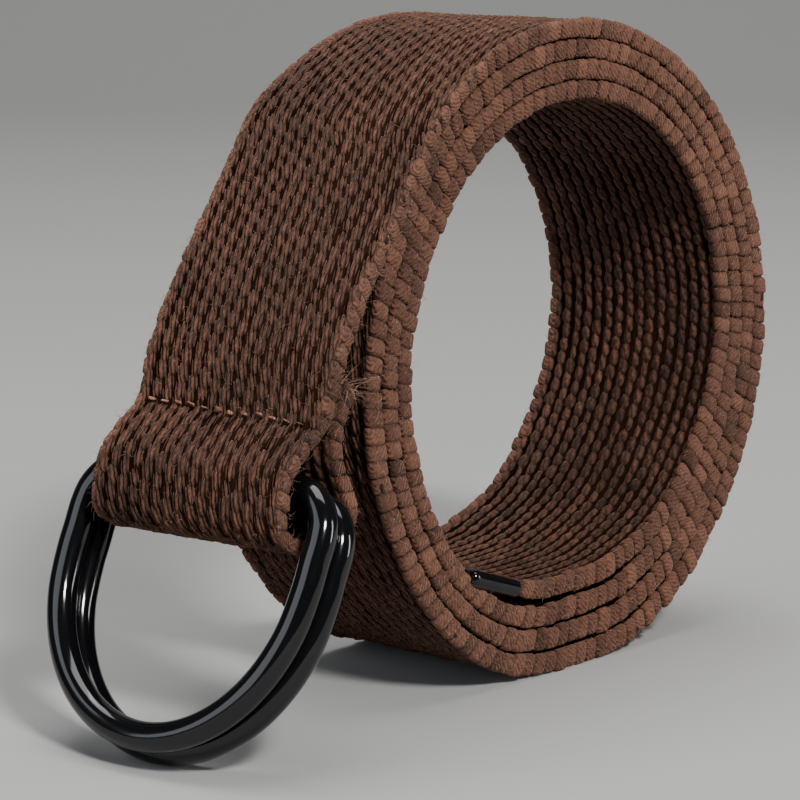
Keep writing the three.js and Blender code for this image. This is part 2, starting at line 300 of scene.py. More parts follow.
start_angle = leave_angle + turn_step
tail_samples, coil_samples, settled_rows = 500, 1400, 4
end_lean, tip_cloth, cloth_taper, cloth_in_tip = math.radians(1), 1.3, 2.4, 11.2
tail_at = np.linspace(0, coil_knot, tail_samples)[:-1]
whole = through_knots(tail, np.linspace(0, len(tail) - 1, 4 * tail_samples))
tail_rows = round(run_along(whole)[-1] / tail_step)
coil_angles = np.linspace(start_angle, coil_end_angle, coil_samples)
coil_places = np.array([coil_point(a) for a in coil_angles])
end_way = unit(solid_point(coil_end_angle) - solid_point(coil_end_angle - turn_step))
end_way = np.array([end_way[0] * math.cos(end_lean) + end_way[1] * math.sin(end_lean),
                    end_way[1] * math.cos(end_lean) - end_way[0] * math.sin(end_lean)])
end_runs = np.array([cloth_taper / 2, cloth_taper, cloth_taper + running_clearance + cloth_in_tip])
end_places = coil_places[-1] + end_runs[:, None] * end_way
places = np.vstack([through_knots(tail, tail_at), coil_places, end_places])
run = run_along(places)
way = np.gradient(places, run, axis=0)
way /= np.linalg.norm(way, axis=1)[:, None]
strap_length = run[-1]
seam_run = np.interp(seam_knot, tail_at, run[:len(tail_at)])


def run_at_angle(angle):
    """How far along the webbing a place of the coil is, in millimetres."""
    return float(np.interp(angle, coil_angles, run[len(tail_at):len(tail_at) + len(coil_angles)]))


print("the webbing is", round(strap_length), "mm long")
print("the seam is", round(seam_run, 1), "mm from its cut end")

# %% How far the loose end leans and drifts sideways at each place of the line
beyond = [1e4] * len(end_places)
past_start = coil_angles - start_angle
row_number = np.r_[tail_rows * tail_at / coil_knot, tail_rows + past_start / turn_step, beyond]
past = np.r_[np.zeros(len(tail_at)), past_start / (settled_angle - start_angle), beyond]
seam_row, settled_row = tail_rows * seam_knot / coil_knot, tail_rows + settled_rows
share = np.clip((settled_row - row_number) / (settled_row - seam_row), 0, 1)
loose, drift = 1 - smooth(past), (share + smooth(share)) / 2
print("the loose end drifts", round(tail_drift * drift.max(), 1), "mm sideways")

# %% The cloth's thickness at each place of the line, and its edges' thickness
loose_edge, edge_grows_angle, room_start_angle, room_end_angle = 0.7, 25, 60, 20
steady = smooth(past_start / room_start_angle) * smooth((coil_end_angle - coil_angles) / room_end_angle)
layer_rooms = 1 + (np.array([layer_room(a) for a in coil_angles]) - 1) * steady
at_tip = [(strap_thickness + tip_cloth) / 2 / strap_thickness] + [tip_cloth / strap_thickness] * 2
thick = np.r_[np.ones(len(places) - len(at_tip)), at_tip]
grown = loose_edge + (1 - loose_edge) * smooth(past_start / edge_grows_angle)
edge_thick = np.r_[np.full(len(tail_at), loose_edge), grown * layer_rooms, at_tip]
print("the edges are", edge_thick.min().round(2), "to", edge_thick.max().round(2), "of their full thickness")

# %% [markdown]
# ## Winding the flat cloth
#
# Every piece of cloth below is modelled flat: X across the webbing, Y along it from the cut end, and Z out
# of its outer face. A curve modifier could bend it, but it can't lean the loose end sideways, so a short
# function moves each vertex to its place on the line. It works on whole arrays, which keeps it quick.

# %% The winding function
stitch_run, stitch_slope, stitch_dip, stitch_dip_width = seam_run - 0.5, 0.035, 0.42, 0.8
fold_narrowing = 0.045


def wind(flat, thickness):
    """Flat places in millimetres, as places on the coiled belt in metres."""
    across, along, out = flat.T
    inside = np.clip(along, 0, strap_length)
    across = (across + half_strap) * (1 - fold_narrowing * np.interp(inside, run, drift)) - half_strap
    x, z = (np.interp(inside, run, places[:, k]) for k in (0, 1))
    wx, wz = (np.interp(inside, run, way[:, k]) for k in (0, 1))
    leaning, drifting, thin = (np.interp(inside, run, v) for v in (loose, drift, thickness))
    x, z = x + (along - inside) * wx, z + (along - inside) * wz
    dip = stitch_dip * np.exp(-((along - stitch_run - stitch_slope * across) / stitch_dip_width)**2)
    out = out * thin - np.where(out > 0, dip, 0)
    return MM * np.stack([
        x - math.tan(ring_yaw) * leaning * (across + half_strap) - wz * out,
        across - tail_drift * drifting,
        np.maximum(z + wx * out, 0)], axis=1)


# %% Helpers for meshes
def read_places(mesh):
    """The places of a mesh's vertices, one row for each."""
    flat = np.empty(len(mesh.vertices) * 3)
    mesh.vertices.foreach_get("co", flat)
    return flat.reshape(-1, 3)


def wind_mesh(mesh, thickness=thick):
    """Winds a flat mesh onto the belt's line. thickness is the cloth's share of its full thickness."""
    mesh.vertices.foreach_set("co", wind(read_places(mesh), thickness).ravel())
    mesh.update()


def add_value(mesh, name, values):
    """Writes one number for each vertex."""
    mesh.attributes.new(name, "FLOAT", "POINT").data.foreach_set("value", np.asarray(values, np.float32))


def lay_uv(faces, uv, uv_of):
    """Writes the UV map of some faces: U across the yarn, V along it."""
    for face in faces:
        for loop in face.loops:
            loop[uv].uv = uv_of(loop.vert.co)


def finish_piece(name, mesh, body, material):
    """Puts a finished mesh in the scene as a piece that rides on a body."""
    mesh.materials.clear()
    mesh.materials.append(material)
    mesh.shade_smooth()
    mesh.name = name
    piece = bpy.data.objects.new(name, mesh)
    bpy.context.collection.objects.link(piece)
    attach(piece, body)
    triangles = sum(len(p.vertices) - 2 for p in mesh.polygons)
    print(name, "has", triangles, "triangles")
    return piece


def mesh_from(bm, name):
    """Makes a mesh of a bmesh and frees it."""
    mesh = bpy.data.meshes.new(name)
    bm.to_mesh(mesh)
    bm.free()
    return mesh


def round_edges(bm, edges, offset, segments):
    bmesh.ops.bevel(bm, geom=edges, offset=offset, offset_type="OFFSET", segments=segments, profile=0.5,
                    affect="EDGES", material=-1)


def pick_verts(geom):
    return [v for v in geom if isinstance(v, bmesh.types.BMVert)]


def pick_edges(geom):
    return [e for e in geom if isinstance(e, bmesh.types.BMEdge)]


# %% [markdown]
# ## The camera
#
# The photograph looks down a little, from the near left side, through a long lens. The camera's place and
# lens come from a fit to the coil's outline, so that the perspective between the near rings and the far
# side of the coil is right too.

# %% Camera at the photograph's angle
camera = bpy.data.objects.new("camera", bpy.data.cameras.new("camera"))
bpy.context.collection.objects.link(camera)
bpy.context.scene.camera = camera
camera_place, camera_target = Vector((-385.9, -324.5, 129.6)) * MM, Vector((-22.3, 0, 45.76)) * MM
camera.location = camera_place
camera.rotation_euler = (camera_target - camera_place).to_track_quat("-Z", "Y").to_euler()
camera.data.sensor_width = 36
camera.data.lens = 136.68
camera.data.clip_start, camera.data.clip_end = 0.05, 10
print("camera stands", round((camera_target - camera_place).length, 3), "m from the belt")


# %% [markdown]
# ## Shader groups
#
# Cotton shows two effects on every piece of it: fine fibres that run along each yarn, and slow changes
# of tone where dye and handling differ. Both are needed on the floats, the selvedge, the stitches and the
# frayed ends, so each is a node group with named sockets.

# %% Helpers for node groups
def new_group(name, inputs, outputs):
    """A shader node group with named sockets. Each input is (name, type, default)."""
    group = bpy.data.node_groups.new(name, "ShaderNodeTree")
    for label, kind, default in inputs:
        socket = group.interface.new_socket(label, in_out="INPUT", socket_type=kind)
        if default is not None:
            socket.default_value = default
    for label, kind in outputs:
        group.interface.new_socket(label, in_out="OUTPUT", socket_type=kind)
    group.nodes.new("NodeGroupInput").name = "in"
    group.nodes.new("NodeGroupOutput").name = "out"
    return group


def add_node(tree, kind, settings=None, values=None):
    """A node with its settings and socket values."""
    node = tree.nodes.new(kind)
    for key, value in (settings or {}).items():
        setattr(node, key, value)
    for key, value in (values or {}).items():
        node.inputs[key].default_value = value
    return node


def maths(tree, operation, values=None):
    return add_node(tree, "ShaderNodeMath", {"operation": operation}, values)


def noise(tree, scale, detail, roughness=0.5):
    """Noise that stays in place on the object."""
    spots = add_node(tree, "ShaderNodeTexNoise",
                     values={"Scale": scale, "Detail": detail, "Roughness": roughness})
    place = add_node(tree, "ShaderNodeTexCoord")
    tree.links.new(place.outputs["Object"], spots.inputs["Vector"])
    return spots


def join(tree, pairs):
    """Links (node, socket) to (node, socket)."""
    for (a, out), (b, into) in pairs:
        tree.links.new(a.outputs[out], b.inputs[into])


# %% The fibre group
FLOAT, COLOUR = "NodeSocketFloat", "NodeSocketColor"


def fibre_group():
    """Fibres that run along V of the yarn's UV map, twisted and wandering, with a fuzz over them, and a
    painted shade for the grooves between strands.
    """
    group = new_group("cotton fibres", [("Strands", FLOAT, 3.0), ("Twist", FLOAT, 0.6),
                                        ("Wander", FLOAT, 0.5), ("Fuzz", FLOAT, 0.5), ("Lumps", FLOAT, 0.6)],
                      [("Height", FLOAT), ("Groove shade", FLOAT)])
    g_in, g_out = group.nodes["in"], group.nodes["out"]
    uv = add_node(group, "ShaderNodeUVMap", {"uv_map": "yarn"})
    parts = add_node(group, "ShaderNodeSeparateXYZ")
    twist = maths(group, "MULTIPLY_ADD")
    turns = maths(group, "MULTIPLY")
    angle = maths(group, "MULTIPLY", {1: math.tau})
    wave = maths(group, "COSINE")
    ridge = add_node(group, "ShaderNodeMapRange", values={"From Min": -1.0, "From Max": 0.8})
    fuzz = noise(group, 5200.0, 3.0, roughness=0.65)
    lumps = noise(group, 1500.0, 2.0)
    stray = noise(group, 1100.0, 1.0)
    astray = maths(group, "MULTIPLY_ADD")
    mix = maths(group, "MULTIPLY_ADD")
    lumped = maths(group, "MULTIPLY_ADD")
    join(group, [
        ((uv, 0), (parts, 0)), ((parts, "Y"), (twist, 0)), ((g_in, "Twist"), (twist, 1)),
        ((parts, "X"), (twist, 2)), ((stray, "Fac"), (astray, 0)), ((g_in, "Wander"), (astray, 1)),
        ((twist, 0), (astray, 2)), ((astray, 0), (turns, 0)), ((g_in, "Strands"), (turns, 1)),
        ((turns, 0), (angle, 0)), ((angle, 0), (wave, 0)), ((wave, 0), (ridge, "Value")),
        ((fuzz, "Fac"), (mix, 0)), ((g_in, "Fuzz"), (mix, 1)), ((ridge, 0), (mix, 2)),
        ((lumps, "Fac"), (lumped, 0)), ((g_in, "Lumps"), (lumped, 1)), ((mix, 0), (lumped, 2)),
        ((lumped, 0), (g_out, "Height")), ((ridge, 0), (g_out, "Groove shade"))])
    return group


fibres = fibre_group()
print("group:", fibres.name, [s.name for s in fibres.interface.items_tree])


# %% The dye group
def dye_group():
    """Slow and fine changes between a dark and a light tone of the same dye."""
    group = new_group("uneven dye", [("Dark", COLOUR, None), ("Light", COLOUR, None), ("Tone", FLOAT, 0.5)],
                      [("Color", COLOUR)])
    g_in, g_out = group.nodes["in"], group.nodes["out"]
    slow = noise(group, 55.0, 3.0)
    fine = noise(group, 1400.0, 2.0)
    both = maths(group, "ADD")
    toned = maths(group, "ADD")
    level = add_node(group, "ShaderNodeMapRange", values={"From Min": 1.0, "From Max": 2.0})
    mix = add_node(group, "ShaderNodeMix", {"data_type": "RGBA"})
    join(group, [
        ((slow, "Fac"), (both, 0)), ((fine, "Fac"), (both, 1)), ((both, 0), (toned, 0)),
        ((g_in, "Tone"), (toned, 1)), ((toned, 0), (level, "Value")), ((level, 0), (mix, 0)),
        ((g_in, "Dark"), (mix, 6)), ((g_in, "Light"), (mix, 7)), ((mix, 2), (g_out, "Color"))])
    return group


dye = dye_group()
print("group:", dye.name, [s.name for s in dye.interface.items_tree])


# %% [markdown]
# ## Materials
#
# Cotton is dull, and its fuzz catches light at a grazing angle. A high roughness alone looks like clay,
# so the shader's sheen adds the fuzz. The tone of each float comes from an attribute that is written when
# the floats are laid, which breaks up the grid as real yarn does. A second attribute, the crest, is 1 at the
# top of a yarn and falls towards its root, and the colour is painted darker there as painted shade. Only the
# upper third of a yarn stands out of the cloth, so the crest's whole effect lies in that third.

# %% A material with its shader's own sockets set
def new_material(name, settings):
    material = bpy.data.materials.new(name)
    material.use_nodes = True
    shader = material.node_tree.nodes["Principled BSDF"]
    for label, value in settings.items():
        shader.inputs[label].default_value = value
    return material, material.node_tree, shader


# %% The cotton material
# Share of the colour left at a yarn's root, where it is painted darker as painted shade.
root_painted_shade = 0.14


def cotton(name, dark, light, strands, twist, bump, sheen=0.2, lumps=0.6, groove_shade=0.5, wander=0.5):
    """Dyed yarn: its two tones, the strands and twist in its fibres, how high they stand in mm, and how dark
    the grooves between strands are painted as painted shade.
    """
    material, tree, shader = new_material(name, {
        "Roughness": 0.82, "Sheen Weight": sheen, "Sheen Roughness": 0.45, "Sheen Tint": (0.7, 0.37, 0.24, 1),
        "Specular IOR Level": sheen * 1.3})
    lines = add_node(tree, "ShaderNodeGroup", {"node_tree": fibres},
                     {"Strands": strands, "Twist": twist, "Lumps": lumps, "Wander": wander})
    tone = add_node(tree, "ShaderNodeAttribute", {"attribute_name": "tone"})
    dyed = add_node(tree, "ShaderNodeGroup", {"node_tree": dye}, {"Dark": (*dark, 1), "Light": (*light, 1)})
    deep = add_node(tree, "ShaderNodeMix", {"data_type": "RGBA", "blend_type": "MULTIPLY"})
    # The grooves between the strands are painted darker: painted shade.
    shade = add_node(tree, "ShaderNodeMapRange", values={"To Min": groove_shade, "To Max": 1.0})
    # The crest darkens each yarn's colour towards its root, as painted shade.
    crest = add_node(tree, "ShaderNodeAttribute", {"attribute_name": "crest"})
    depth = add_node(tree, "ShaderNodeMapRange",
                     values={"From Min": 0.64, "From Max": 0.98, "To Min": root_painted_shade, "To Max": 1.0})
    shaded = maths(tree, "MULTIPLY")
    grey = add_node(tree, "ShaderNodeCombineColor")
    relief = add_node(tree, "ShaderNodeBump", values={"Strength": 1.0, "Distance": bump * MM})
    deep.inputs[0].default_value = 1.0
    join(tree, [
        ((tone, "Fac"), (dyed, "Tone")), ((dyed, "Color"), (deep, 6)),
        ((lines, "Groove shade"), (shade, "Value")), ((crest, "Fac"), (depth, "Value")),
        ((shade, 0), (shaded, 0)), ((depth, 0), (shaded, 1)), ((shaded, 0), (grey, 0)),
        ((shaded, 0), (grey, 1)), ((shaded, 0), (grey, 2)), ((grey, 0), (deep, 7)),
        ((deep, 2), (shader, "Base Color")),
        ((lines, "Height"), (relief, "Height")), ((relief, 0), (shader, "Normal"))])
    return material


canvas = cotton("brown_canvas", (0.032, 0.0124, 0.0068), (0.192, 0.0755, 0.041),
                strands=2.0, twist=0.4, bump=0.15, groove_shade=0.32)
edge_canvas = cotton("brown_canvas_edge", (0.042, 0.0165, 0.0095), (0.16, 0.067, 0.0405),
                     strands=3.0, twist=1.2, bump=0.15, lumps=1.3, groove_shade=0.72, wander=0.42)
fuzz_canvas = cotton("brown_canvas_fuzz", (0.12, 0.06, 0.038), (0.33, 0.18, 0.12),
                     strands=1.0, twist=0.0, bump=0.02, sheen=0.5)
# The core's colours are painted darker than the faces', as painted shade where little light reaches.
core_canvas_shade = cotton("brown_canvas_core_shade", (0.014, 0.0056, 0.0034), (0.03, 0.0118, 0.007),
                     strands=1.0, twist=0.0, bump=0.1, sheen=0)
thread = cotton("copper_thread", (0.2, 0.075, 0.045), (0.5, 0.22, 0.14), strands=2.0, twist=1.5, bump=0.08)
print("materials:", [m.name for m in (canvas, edge_canvas, fuzz_canvas, core_canvas_shade, thread)])


# %% The black enamel material
def enamel(name, wave_scale, wave, roughness):
    """Black gloss enamel over metal, with the faint waviness of a sprayed and baked coat."""
    material, tree, shader = new_material(name, {"Roughness": roughness, "IOR": 1.47})
    waves = noise(tree, wave_scale, 2.0)
    colour = add_node(tree, "ShaderNodeValToRGB")
    colour.color_ramp.elements[0].color = (0.0012, 0.0013, 0.0016, 1)
    colour.color_ramp.elements[1].color = (0.003, 0.0032, 0.004, 1)
    relief = add_node(tree, "ShaderNodeBump", values={"Strength": 1.0, "Distance": wave * MM})
    join(tree, [
        ((waves, "Fac"), (colour, "Fac")), ((colour, 0), (shader, "Base Color")),
        ((waves, "Fac"), (relief, "Height")), ((relief, 0), (shader, "Normal"))])
    return material


ring_enamel = enamel("ring_enamel", wave_scale=160.0, wave=0.02, roughness=0.1)
tip_enamel = enamel("tip_enamel", wave_scale=260.0, wave=0.015, roughness=0.1)
print("materials:", ring_enamel.name, tip_enamel.name)

# %% [markdown]
# ## The webbing's core
#
# Under the floats lies the cloth itself. It could be left out, but light would then shine through the
# gaps. It is a flat grid with a wall, wound up like the rest, a little thinner and narrower than the
# webbing, as the floats and the selvedge stand on it. Little light reaches it, so its colour is painted
# darker: painted shade.

# %% Flat core, wound onto the line
core_half, core_inset, core_step, core_yarn = 0.97, 0.9, 1.6, (2.2, 2.6)


def flat_core():
    """The core as a flat slab, with a UV map for the fibres."""
    rows = round(strap_length / core_step)
    bm = bmesh.new()
    stretch = Matrix.Diagonal((half_strap - core_inset, strap_length / 2, 1, 1))
    centre = Matrix.Translation((0, strap_length / 2, core_half))
    bmesh.ops.create_grid(bm, x_segments=10, y_segments=rows, size=1, matrix=centre @ stretch)
    bmesh.ops.solidify(bm, geom=bm.faces[:], thickness=2 * core_half)
    bmesh.ops.recalc_face_normals(bm, faces=bm.faces)
    low = min(v.co.z for v in bm.verts)
    bmesh.ops.translate(bm, vec=(0, 0, -core_half - low), verts=bm.verts)
    uv = bm.loops.layers.uv.new("yarn")
    lay_uv(bm.faces, uv, lambda co: (co.x / core_yarn[0], co.y / core_yarn[1]))
    mesh = mesh_from(bm, "strap_core")
    add_value(mesh, "crest", np.ones(len(mesh.vertices)))
    return mesh


core_mesh = flat_core()
wind_mesh(core_mesh)
core = finish_piece("strap_core", core_mesh, "strap", core_canvas_shade)
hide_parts("strap")

# %% [markdown]
# ## The weave's floats
#
# On both faces, short lengths of warp yarn float over the weft. They lie in columns along the webbing, each
# column half a float further along than its neighbour, like bricks. On the outer face a float is three
# plies laid side by side and slanted, the middle one highest. On the inner face the turns press it into one
# broad body. A bump texture would leave the silhouette and the deep gaps flat, so each ply is a small body.
# One row of them is built from spheres pulled long, an Array modifier repeats the row along the webbing,
# and each float then gets its own small error of place, size and tone.

# %% Sizes of the weave
column_pitch, float_pitch, column_count = 2.34, 2.62, 16
float_slant, inner_slant = math.radians(16), math.radians(5)
ply_half_length, ply_half_width, ply_half_height, ply_step = 1.78, 0.42, 0.66, 0.69
ply_rise, side_ply_drop, ply_stagger = 0.14, 0.19, 0.15
inner_half_length, inner_half_width, inner_half_height, inner_rise = 1.86, 1.14, 0.74, 0.06
yarn_sides, yarn_rings, yarn_fullness = 6, 5, 1.0
first_float = 0.7 * ply_half_length

# How far a body strays: across, along and out in mm, its swell, its lean, and its tone's middle and spread.
outer_stray = ((0.06, 0.11, 0.05), 0.06, 0.06, (0.5, 0.08))
inner_stray = ((0.03, 0.1, 0.03), 0.04, 0.02, (0.32, 0.12))
block_stray = ((0.11, 0.08, 0.045), 0.055, 0.07, (0.5, 0.2))
stitch_stray = ((0.05, 0.06, 0.03), 0.06, 0.07, (0.5, 0.2))


# %% One row of floats
def yarn_body(bm, uv, matrix, sides=yarn_sides, rings=yarn_rings):
    """A plump length of yarn along Y, with its UV map: U across it, V along it."""
    lie = Matrix.Rotation(math.radians(90), 4, "X")
    made = bmesh.ops.create_uvsphere(bm, u_segments=sides, v_segments=rings, radius=1, matrix=lie)
    for vert in made["verts"]:
        fuller = math.sqrt(1 + yarn_fullness * vert.co.y**2)
        vert.co.x *= fuller
        vert.co.z *= fuller
    bmesh.ops.transform(bm, matrix=matrix, verts=made["verts"])
    back = matrix.inverted()
    lay_uv({f for v in made["verts"] for f in v.link_faces}, uv, lambda co: (back @ co).xy / 2)


def float_row(side):
    """The floats of one weft row, across the webbing. side is 1 for the outer face, -1 for the inner."""
    if side > 0:
        slant, plies = -float_slant, (-1, 0, 1)
        size = Matrix.Diagonal((ply_half_width, ply_half_length, ply_half_height, 1))
        height = strap_thickness / 2 - ply_half_height + ply_rise
    else:
        slant, plies = inner_slant, (0,)
        size = Matrix.Diagonal((inner_half_width, inner_half_length, inner_half_height, 1))
        height = -strap_thickness / 2 + inner_half_height - inner_rise
    bm = bmesh.new()
    uv = bm.loops.layers.uv.new("yarn")
    for column in range(column_count):
        x = (column - (column_count - 1) / 2) * column_pitch
        y = float_pitch / 2 * (column % 2)
        turn = Matrix.Translation((x, y, 0)) @ Matrix.Rotation(slant, 4, "Z")
        for ply in plies:
            place = (ply * ply_step, -ply * ply_stagger, height - side_ply_drop * abs(ply))
            yarn_body(bm, uv, turn @ Matrix.Translation(place) @ size)
    return mesh_from(bm, "float_row")


# %% Repeat a row along the webbing
def repeat(mesh, pitch, count):
    """The mesh, repeated along Y with an Array modifier that is applied at once."""
    holder = bpy.data.objects.new("repeat", mesh)
    bpy.context.collection.objects.link(holder)
    array = holder.modifiers.new("rows", "ARRAY")
    array.use_relative_offset = False
    array.use_constant_offset = True
    array.constant_offset_displace = (0, pitch, 0)
    array.count = count
    made = bpy.data.meshes.new_from_object(holder.evaluated_get(bpy.context.evaluated_depsgraph_get()))
    bpy.data.objects.remove(holder)
    return made


def loosen(mesh, per_body, stray, seed, crest_of):
    """Gives each body of so many vertices its own small error of place and size, its tone and its crest."""
    shift, swell, lean, tones = stray
    chance = np.random.default_rng(seed)
    count = len(mesh.vertices) // per_body
    bodies = read_places(mesh).reshape(count, per_body, 3)
    centre = bodies.mean(axis=1, keepdims=True)
    size = 1 + chance.normal(0, swell, (count, 1, 3))
    turn = chance.normal(0, lean, (count, 1))
    local = (bodies - centre) * size
    turned = local.copy()
    turned[..., 0] = local[..., 0] - turn * local[..., 1]
    turned[..., 1] = local[..., 1] + turn * local[..., 0]
    move = chance.normal(0, 1, (count, 1, 3)) * np.array(shift)
    mesh.vertices.foreach_set("co", (centre + turned + move).ravel())
    add_value(mesh, "tone", np.repeat(chance.normal(*tones, count), per_body))
    add_value(mesh, "crest", crest_of(bodies - centre).ravel())


# This crest is what the cotton material uses to paint shade towards each yarn's root.
def rising(side):
    """The crest of a yarn that lies on a face: 0 at its lowest point, 1 at its highest."""
    def crest_of(local):
        height = local[..., 2] * side
        low, high = height.min(axis=1, keepdims=True), height.max(axis=1, keepdims=True)
        return (height - low) / (high - low)
    return crest_of


def lay_floats(name, start, end, side, seed):
    """A field of floats on one face, from start to end along the webbing."""
    row = float_row(side)
    per_body = len(row.vertices) // column_count
    count = int((end - start) / float_pitch)
    mesh = repeat(row, float_pitch, count)
    loosen(mesh, per_body, outer_stray if side > 0 else inner_stray, seed, rising(side))
    mesh.transform(Matrix.Translation((0, start + first_float, 0)))
    wind_mesh(mesh)
    return finish_piece(name, mesh, "strap", canvas)


# %% Floats on the faces that show
outer_end = run_at_angle(leave_angle + 362)
outer_rows = int(outer_end / float_pitch)
outer_cuts = [round(outer_rows * share / 3) * float_pitch for share in range(4)]
outer_floats = [lay_floats(f"outer_floats_{n + 1}", outer_cuts[n], outer_cuts[n + 1] + 0.01, 1, 11 + n)
                for n in range(3)]
inner_start = run_at_angle(coil_end_angle - 372)
hang_end = run_at_angle(leave_angle + 18)
inner_floats = [lay_floats("inner_floats_1", 0, hang_end, -1, 15),
                lay_floats("inner_floats_2", inner_start, strap_length - cloth_in_tip - 2, -1, 16)]

# %% [markdown]
# ## The selvedge
#
# Along each edge the weft turns back round the last warp yarns, which shows as a row of square, cushioned
# blocks, one row for each layer of the coil. A block is a cube with its edges bevelled round, and it leans a
# little along the webbing, as the twist of the yarn pulls it.

# %% Blocks along both edges
block_pitch, block_length, block_width, block_height = 2.75, 2.95, 1.6, 3.12
# The blocks' crest dips at their ends, which paints shade where neighbouring blocks meet.
block_round, block_lean, block_stand, block_end_shade = 0.66, 0.24, 0.05, 0.27


def between_blocks(local):
    """The crest of a block: it falls off at both ends, where it meets its neighbours, and paints shade there.
    """
    along = (local[..., 1] - block_lean * local[..., 2]) / (block_length / 2)
    return 1 - block_end_shade * np.abs(along)**6


def lay_selvedge(name, side, seed):
    """The row of blocks along one edge. side is -1 for the near edge, 1 for the far one."""
    bm = bmesh.new()
    uv = bm.loops.layers.uv.new("yarn")
    size = Matrix.Diagonal((block_width, block_length, block_height, 1))
    bmesh.ops.create_cube(bm, size=1, matrix=size)
    round_edges(bm, bm.edges[:], block_round, 2)
    lean = Matrix.Identity(4)
    lean[1][2] = block_lean
    middle = side * (half_strap - block_width / 2 + block_stand)
    bm.transform(Matrix.Translation((middle, block_pitch / 2, 0)) @ lean)
    lay_uv(bm.faces, uv, lambda co: (co.y / block_pitch, (co.z + side * co.x) / block_height))
    block = mesh_from(bm, "block")
    per_body = len(block.vertices)
    mesh = repeat(block, block_pitch, int((strap_length - cloth_in_tip) / block_pitch))
    loosen(mesh, per_body, block_stray, seed, between_blocks)
    wind_mesh(mesh, edge_thick)
    return finish_piece(name, mesh, "strap", edge_canvas)


selvedges = [lay_selvedge("near_selvedge", -1, 21), lay_selvedge("far_selvedge", 1, 22)]

# %% [markdown]
# ## The seam
#
# One row of coarse lockstitch holds the fold. Each stitch is a short length of lighter thread that dips
# into the cloth at both ends, so it is a slim yarn body, laid across the webbing on both plies.

# %% Stitches across the fold
stitch_pitch, stitch_count, back_stitch_run = 2.78, 12, 4.5
stitch_half_length, stitch_half_width, stitch_half_height, stitch_sunk = 0.84, 0.17, 0.3, 0.06
stitch_sway, stitch_lean, lean_sway = 0.12, 12, 5


def lay_stitches(name, along, lift, seed):
    """A row of stitches across one ply. lift raises them onto what the thread pulls down."""
    bm = bmesh.new()
    uv = bm.loops.layers.uv.new("yarn")
    for n in range(stitch_count):
        x = (n - (stitch_count - 1) / 2) * stitch_pitch
        y = along + stitch_slope * x + stitch_sway * math.sin(n * 2.4)
        place = Matrix.Translation((x, y, strap_thickness / 2 + lift - stitch_sunk))
        turn = Matrix.Rotation(math.radians(-90 + stitch_lean + lean_sway * math.sin(n * 1.7)), 4, "Z")
        size = Matrix.Diagonal((stitch_half_width, stitch_half_length, stitch_half_height, 1))
        yarn_body(bm, uv, place @ turn @ size, sides=10, rings=9)
    mesh = mesh_from(bm, name)
    loosen(mesh, len(mesh.vertices) // stitch_count, stitch_stray, seed, rising(1))
    wind_mesh(mesh)
    return finish_piece(name, mesh, "strap", thread)


stitches = [lay_stitches("seam_stitches_front", stitch_run, stitch_dip, 31),
            lay_stitches("seam_stitches_back", back_stitch_run, 0.05, 32)]

# %% [markdown]
# ## Frayed end and fuzz
#
# The cut end shows loose fibres, and cotton has a thin fuzz along its edges. Hair could be made with
# Blender's hair system, but the export keeps meshes alone, so each fibre is a thin cone with three sides that
# bends over. One fibre is repeated, and arrays then give each copy its root, aim, length and bend.

# %% Fibres
def lay_fibres(name, root, aim, length, radius, curl, tone=0.6):
    """Fibres with flat roots and aims (arrays of x, y, z), lengths, one radius, one curl and one tone."""
    bm = bmesh.new()
    bm.loops.layers.uv.new("yarn")
    bmesh.ops.create_cone(bm, cap_ends=False, segments=3, radius1=radius, radius2=radius * 0.25, depth=1,
                          matrix=Matrix.Translation((0, 0, 0.5)))
    upright = [e for e in bm.edges if abs(e.verts[0].co.z - e.verts[1].co.z) > 0.5]
    bmesh.ops.subdivide_edges(bm, edges=upright, cuts=2)
    one = mesh_from(bm, "fibre")
    per_body, count = len(one.vertices), len(root)
    mesh = repeat(one, 0, count)
    local = read_places(mesh).reshape(count, per_body, 3)
    up = aim / np.linalg.norm(aim, axis=1)[:, None]
    side = np.cross(up, [0.31, 0.53, 0.79])
    side /= np.linalg.norm(side, axis=1)[:, None]
    over = np.cross(up, side)
    height = local[..., 2:3] * length[:, None, None]
    bend = curl * (local[..., 2:3]**2) * length[:, None, None]
    spot = (root[:, None] + local[..., 0:1] * side[:, None] + local[..., 1:2] * over[:, None]
            + height * up[:, None] + bend * side[:, None])
    mesh.vertices.foreach_set("co", spot.ravel())
    add_value(mesh, "tone", np.full(len(mesh.vertices), tone))
    add_value(mesh, "crest", np.ones(len(mesh.vertices)))
    wind_mesh(mesh)
    return finish_piece(name, mesh, "strap", fuzz_canvas)


# %% Fuzz along the edges
def edge_fuzz(count):
    """Short fibres that stand off both edges."""
    chance = np.random.default_rng(41)
    side = chance.choice((-1.0, 1.0), count)
    along = chance.uniform(0, strap_length - cloth_in_tip - 3, count)
    root = np.stack([side * (half_strap - 0.1), along, chance.uniform(-1.2, 1.2, count)], axis=1)
    aim = np.stack([side * chance.uniform(0.15, 0.8, count), chance.normal(0, 1, count),
                    chance.normal(0, 0.5, count)], axis=1)
    return lay_fibres("edge_fuzz", root, aim, chance.uniform(0.5, 1.6, count), radius=0.032, curl=0.6)


fuzz = edge_fuzz(9000)


# %% Fuzz on the face, and the frayed cut end
def face_fuzz(count):
    """Short fibres that lie nearly flat on the outer face."""
    chance = np.random.default_rng(43)
    root = np.stack([chance.uniform(-half_strap, half_strap, count), chance.uniform(0, outer_end, count),
                     np.full(count, strap_thickness / 2 - 0.1)], axis=1)
    aim = np.stack([chance.normal(0, 1, count), chance.normal(0, 1, count), chance.uniform(0.2, 0.7, count)],
                   axis=1)
    return lay_fibres("face_fuzz", root, aim, chance.uniform(0.5, 1.2, count), radius=0.026, curl=0.6)


